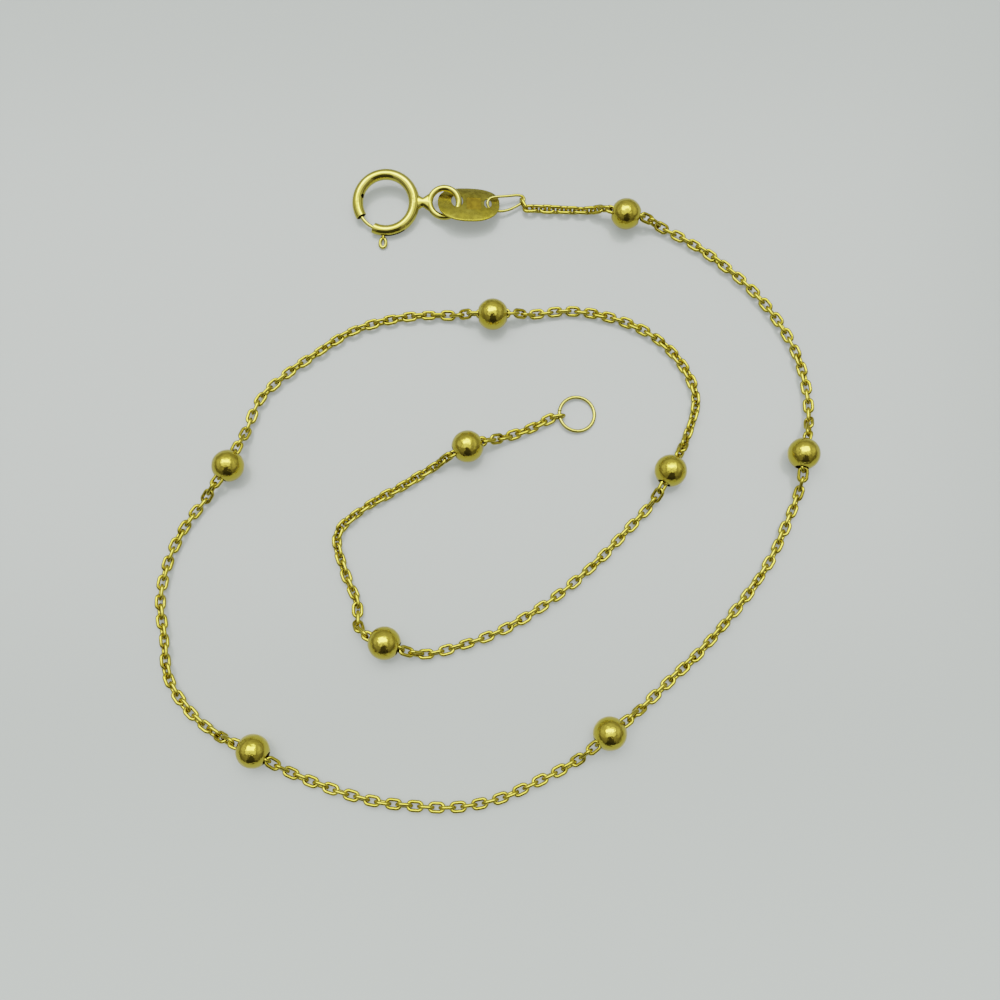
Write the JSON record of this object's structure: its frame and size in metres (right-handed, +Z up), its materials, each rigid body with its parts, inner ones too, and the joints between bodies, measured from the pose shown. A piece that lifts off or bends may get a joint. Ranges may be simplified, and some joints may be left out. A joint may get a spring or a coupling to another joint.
{
  "type": "chain anklet",
  "caption": "Fine cable-chain anklet with spaced round beads, a spring ring clasp, an oval tag and an end jump ring, laid open on a surface.",
  "frame": {"origin": "middle of the laid-out anklet's box, on the surface that it lies on", "axes": "+X to the right along the clasp end, +Y away from the viewer, +Z up from the surface"},
  "size_m": [0.0526, 0.0527, 0.0026],
  "materials": {
    "clasp_gold": "polished",
    "tag_gold": "satin",
    "wire_gold": "polished",
    "chain_gold": "polished",
    "bead_gold": "mirror polished"
  },
  "bodies": {
    "anklet": {"spring_ring": "clasp_gold", "oval_tag": "tag_gold", "end_loop": "wire_gold", "first_link": "chain_gold", "chain_1": "chain_gold", "chain_2": "chain_gold", "chain_3": "chain_gold", "chain_4": "chain_gold", "chain_5": "chain_gold", "chain_6": "chain_gold", "chain_7": "chain_gold", "chain_8": "chain_gold", "chain_9": "chain_gold", "chain_10": "chain_gold", "bead_1": "bead_gold", "bead_2": "bead_gold", "bead_3": "bead_gold", "bead_4": "bead_gold", "bead_5": "bead_gold", "bead_6": "bead_gold", "bead_7": "bead_gold", "bead_8": "bead_gold", "bead_9": "bead_gold", "last_link": "chain_gold", "end_ring": "wire_gold"},
    "trigger": {"trigger": "clasp_gold"}
  },
  "joints": [
    {"name": "trigger_pull", "type": "hinge", "parent": "anklet", "child": "trigger", "pos_m": [-0.00897, 0.02356, 0.00096], "axis": [0, -0.2079, 0.9781], "range_deg": [0, 34], "stiffness_Nm_per_rad": 0.000001, "springref_deg": -20.05}
  ]
}
